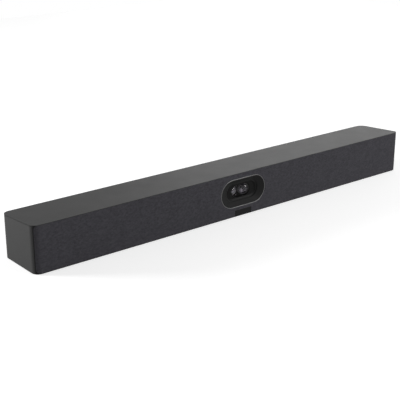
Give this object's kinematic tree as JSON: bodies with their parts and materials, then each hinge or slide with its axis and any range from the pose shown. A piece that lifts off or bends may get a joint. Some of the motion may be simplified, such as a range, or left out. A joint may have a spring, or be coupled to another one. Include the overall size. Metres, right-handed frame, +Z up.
{
  "type": "conference camera bar",
  "caption": "Long cloth-fronted conference bar with a stadium camera window, twin turned-in lenses, a sliding shutter, speakers and a rear port bay.",
  "frame": {"origin": "middle of the bar's footprint, on the plane under its feet", "axes": "+X along the bar to the right as seen from the front, +Y from the front to the rear, +Z up"},
  "size_m": [0.78, 0.094, 0.0755],
  "materials": {
    "housing_plastic": "fine matt texture, dark charcoal",
    "front_cloth": "charcoal acoustic cloth",
    "black_plastic": "matt black",
    "bezel_gloss": "satin to gloss black",
    "trim_metal": "satin",
    "leaf_black": "matt black",
    "gear_plastic": "natural acetal",
    "steel": "plain",
    "shroud_gloss": "gloss dark grey",
    "bracket_metal": "dark anodised",
    "barrel_black": "matt black",
    "lens_glass": "coated",
    "circuit_board": "solder mask",
    "button_grey": "matt",
    "box_plastic": "matt black",
    "cone_paper": "coated paper",
    "soft_rubber": "matt",
    "brass": "turned"
  },
  "bodies": {
    "bar": {"rear_housing": "housing_plastic", "top_cover": "housing_plastic", "front_baffle": "black_plastic", "grille_frame": "black_plastic", "grille_fabric": "front_cloth", "window_trim_ring": "trim_metal", "window_bezel": "bezel_gloss", "badge_plate": "bezel_gloss", "shutter_housing": "black_plastic", "shutter_motor": "steel", "lens_shroud": "shroud_gloss", "camera_bracket": "bracket_metal", "camera_barrel_left": "barrel_black", "camera_barrel_right": "barrel_black", "front_lens_left": "lens_glass", "front_lens_right": "lens_glass", "sensor_board_left": "circuit_board", "sensor_board_right": "circuit_board", "main_board": "circuit_board", "processor_heatsink": "steel", "port_bay": "housing_plastic", "port_plate": "black_plastic", "dc_jack": "black_plastic", "hdmi_socket_1": "steel", "hdmi_socket_2": "steel", "hdmi_socket_3": "steel", "usb_a_socket_1": "steel", "usb_a_socket_2": "steel", "usb_c_socket": "steel", "audio_jack": "black_plastic", "network_socket": "steel", "speaker_box_left": "box_plastic", "speaker_box_right": "box_plastic", "speaker_basket_left": "steel", "speaker_basket_right": "steel", "speaker_magnet_left": "steel", "speaker_magnet_right": "steel", "speaker_surround_left": "soft_rubber", "speaker_surround_right": "soft_rubber", "speaker_gasket_left": "soft_rubber", "speaker_gasket_right": "soft_rubber", "microphone_board_left": "circuit_board", "microphone_board_right": "circuit_board", "wifi_antenna_left": "circuit_board", "wifi_antenna_right": "circuit_board", "rubber_feet": "soft_rubber", "housing_screws": "steel", "bracket_inserts": "brass", "stand_insert": "brass"},
    "shutter_left": {"shutter_leaf_left": "leaf_black"},
    "shutter_right": {"shutter_leaf_right": "leaf_black"},
    "pinion": {"shutter_pinion": "gear_plastic"},
    "reset": {"reset_button": "button_grey"},
    "cone_left": {"speaker_cone_left": "cone_paper"},
    "cone_right": {"speaker_cone_right": "cone_paper"}
  },
  "joints": [
    {"name": "leaf_left_slide", "type": "slide", "parent": "bar", "child": "shutter_left", "axis": [1, 0, 0], "range_m": [0, 0.03485]},
    {"name": "leaf_right_slide", "type": "slide", "parent": "bar", "child": "shutter_right", "axis": [-1, 0, 0], "range_m": [0, 0.03485]},
    {"name": "pinion_turn", "type": "hinge", "parent": "bar", "child": "pinion", "pos_m": [0, -0.0396, 0.06493], "axis": [0, -1, 0], "range_deg": [0, 500]},
    {"name": "reset_press", "type": "slide", "parent": "bar", "child": "reset", "axis": [0, -1, 0], "range_m": [0, 0.0005], "stiffness_N_per_m": 1500},
    {"name": "cone_left_travel", "type": "slide", "parent": "bar", "child": "cone_left", "axis": [0, -1, 0], "range_m": [-0.0015, 0.0015], "stiffness_N_per_m": 1200, "deforming": ["speaker_surround_left"]},
    {"name": "cone_right_travel", "type": "slide", "parent": "bar", "child": "cone_right", "axis": [0, -1, 0], "range_m": [-0.0015, 0.0015], "stiffness_N_per_m": 1200, "deforming": ["speaker_surround_right"]}
  ],
  "couplings": [
    {"joint": "leaf_right_slide", "follows": "leaf_left_slide", "ratio": 1},
    {"joint": "pinion_turn", "follows": "leaf_left_slide", "rad_per_m": 250}
  ]
}
